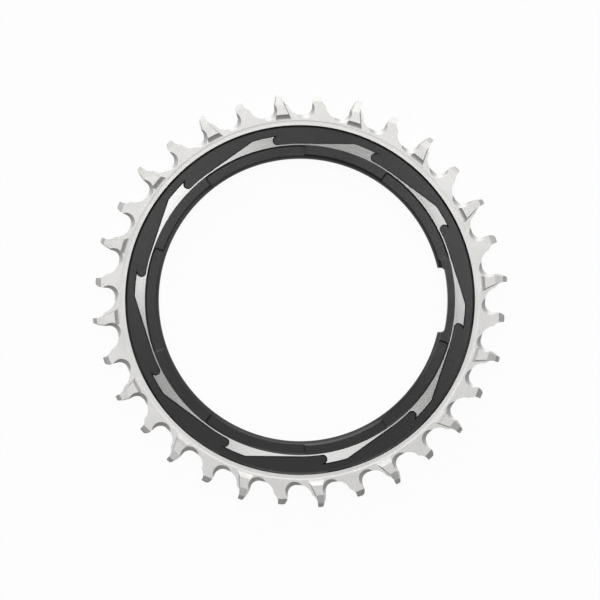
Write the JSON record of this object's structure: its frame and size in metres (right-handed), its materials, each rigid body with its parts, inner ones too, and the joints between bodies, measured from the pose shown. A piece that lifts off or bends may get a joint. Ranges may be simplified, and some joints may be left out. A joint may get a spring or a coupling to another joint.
{
  "type": "bicycle chainring",
  "caption": "Flat single chainring with alternating wide and narrow hooked teeth, a grooved black web with bright fins, and a large screw-on bore with low lugs.",
  "frame": {"origin": "on the ring's axis, at the back face of the hub collar", "axes": "+Z along the axis towards the outboard face; +X through the notch in the bore"},
  "size_m": [0.1364, 0.1364, 0.0055],
  "materials": {
    "chainring": "machined; teeth, rim, fins and land bare, web and hub black anodised"
  },
  "bodies": {
    "root": {"chainring": "chainring"}
  },
  "joints": []
}
